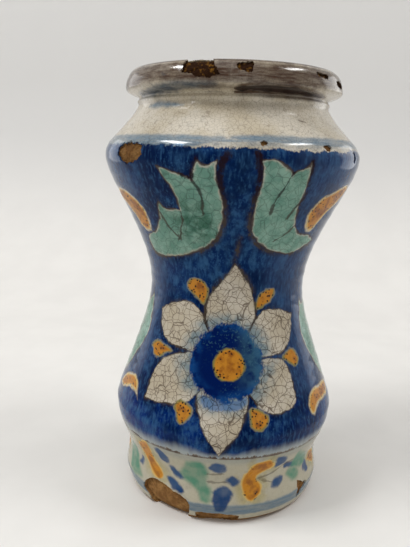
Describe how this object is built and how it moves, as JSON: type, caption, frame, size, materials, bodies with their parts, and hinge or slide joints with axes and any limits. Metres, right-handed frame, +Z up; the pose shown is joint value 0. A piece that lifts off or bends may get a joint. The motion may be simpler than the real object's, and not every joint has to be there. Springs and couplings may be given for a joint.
{
  "type": "albarello drug jar",
  "caption": "Waisted earthenware drug jar with a rolled rim, sloping neck, sharp shoulder and drum foot, tin-glazed inside and out, for storing powders and ointments.",
  "frame": {"origin": "centre of the ring that the jar stands on", "axes": "+Z up along the axis of the jar, -Y towards the painted front"},
  "size_m": [0.118, 0.118, 0.2],
  "materials": {
    "fired_clay": "bare fired earthenware, matt and porous, seen at the foot edge and in the chips",
    "pale_glaze": "glossy opaque tin glaze, pale grey-cream, crackled",
    "blue_glaze": "glossy tin glaze with a painted cobalt blue ground"
  },
  "bodies": {
    "root": {"clay_body": "fired_clay", "inner_glaze": "pale_glaze", "neck_glaze": "pale_glaze", "body_glaze": "blue_glaze", "foot_glaze": "pale_glaze"}
  },
  "joints": []
}
